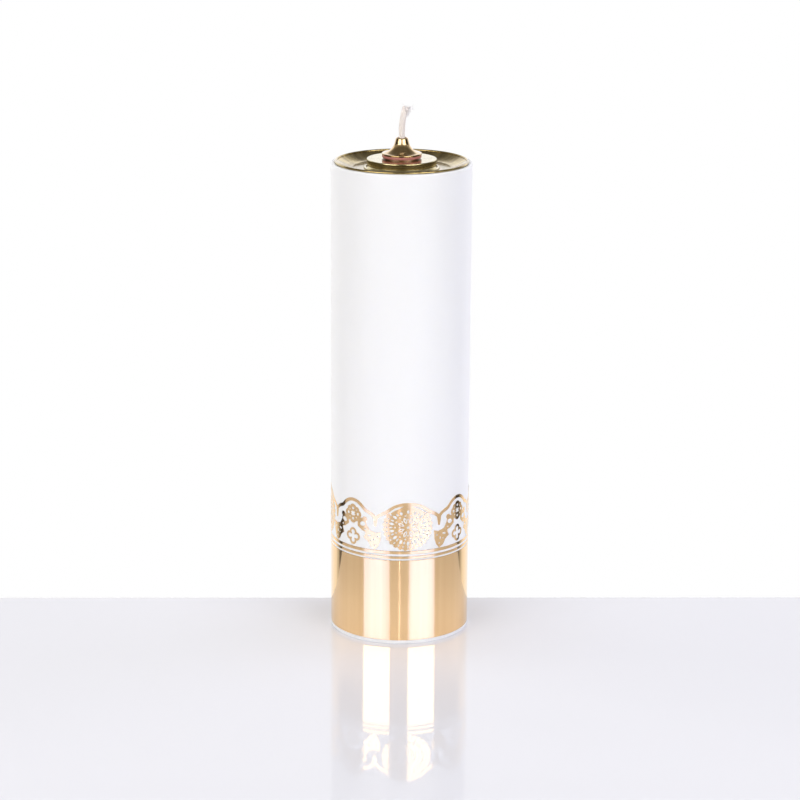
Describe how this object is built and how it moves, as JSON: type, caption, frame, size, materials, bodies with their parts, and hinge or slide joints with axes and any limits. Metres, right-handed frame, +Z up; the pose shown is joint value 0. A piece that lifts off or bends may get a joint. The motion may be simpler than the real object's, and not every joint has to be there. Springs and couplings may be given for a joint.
{
  "type": "refillable oil candle",
  "caption": "Tall white tube candle with gold foil bands, a brass dish on top, a lift-out oil cartridge and a screw-in burner with a cotton wick.",
  "frame": {"origin": "middle of the base, on the surface that the candle stands on", "axes": "+Z up along the tube, -Y the front, +X to the right of the front"},
  "size_m": [0.0802, 0.0802, 0.3061],
  "materials": {
    "white_plastic": "satin moulded white",
    "gold_foil": "mirror gold transfer foil",
    "dish_brass": "spun, with fine lathe rings",
    "turned_brass": "turned and lightly lacquered",
    "tinplate": "bright tinplate",
    "seal_rubber": "matt black",
    "red_gasket": "satin red",
    "wick_cotton": "braided raw cotton"
  },
  "bodies": {
    "casing": {"base_plug": "white_plastic", "candle_tube": "white_plastic", "gold_band": "gold_foil", "gold_rings": "gold_foil", "lace_border": "gold_foil"},
    "dish": {"top_dish": "dish_brass", "dish_skirt": "dish_brass"},
    "cartridge": {"oil_tank": "tinplate", "tank_base": "tinplate", "tank_cap": "turned_brass", "neck_bush": "turned_brass", "bush_washer": "seal_rubber", "bush_nut": "turned_brass"},
    "gasket": {"burner_gasket": "red_gasket"},
    "wick_carrier": {"wick_tube": "turned_brass"},
    "burner": {"burner_cap": "turned_brass"},
    "wick_cord": {"wick": "wick_cotton"}
  },
  "joints": [
    {"name": "dish_lift", "type": "slide", "parent": "casing", "child": "dish", "axis": [0, 0, 1], "range_m": [0, 0.115]},
    {"name": "cartridge_lift", "type": "slide", "parent": "dish", "child": "cartridge", "axis": [0, 0, 1], "range_m": [0, 0.112]},
    {"name": "burner_lift", "type": "slide", "parent": "cartridge", "child": "gasket", "axis": [0, 0, 1], "range_m": [0, 0.11]},
    {"name": "thread_rise", "type": "slide", "parent": "gasket", "child": "wick_carrier", "axis": [0, 0, 1], "range_m": [0, 0.0075]},
    {"name": "burner_turn", "type": "hinge", "parent": "wick_carrier", "child": "burner", "pos_m": [0, 0, 0.278], "axis": [0, 0, 1], "range_deg": [0, 1800]},
    {"name": "wick_feed", "type": "slide", "parent": "wick_carrier", "child": "wick_cord", "axis": [0, 0, 1], "range_m": [-0.004, 0.01]}
  ],
  "couplings": [
    {"joint": "thread_rise", "follows": "burner_turn", "m_per_rad": 0.00023873}
  ]
}
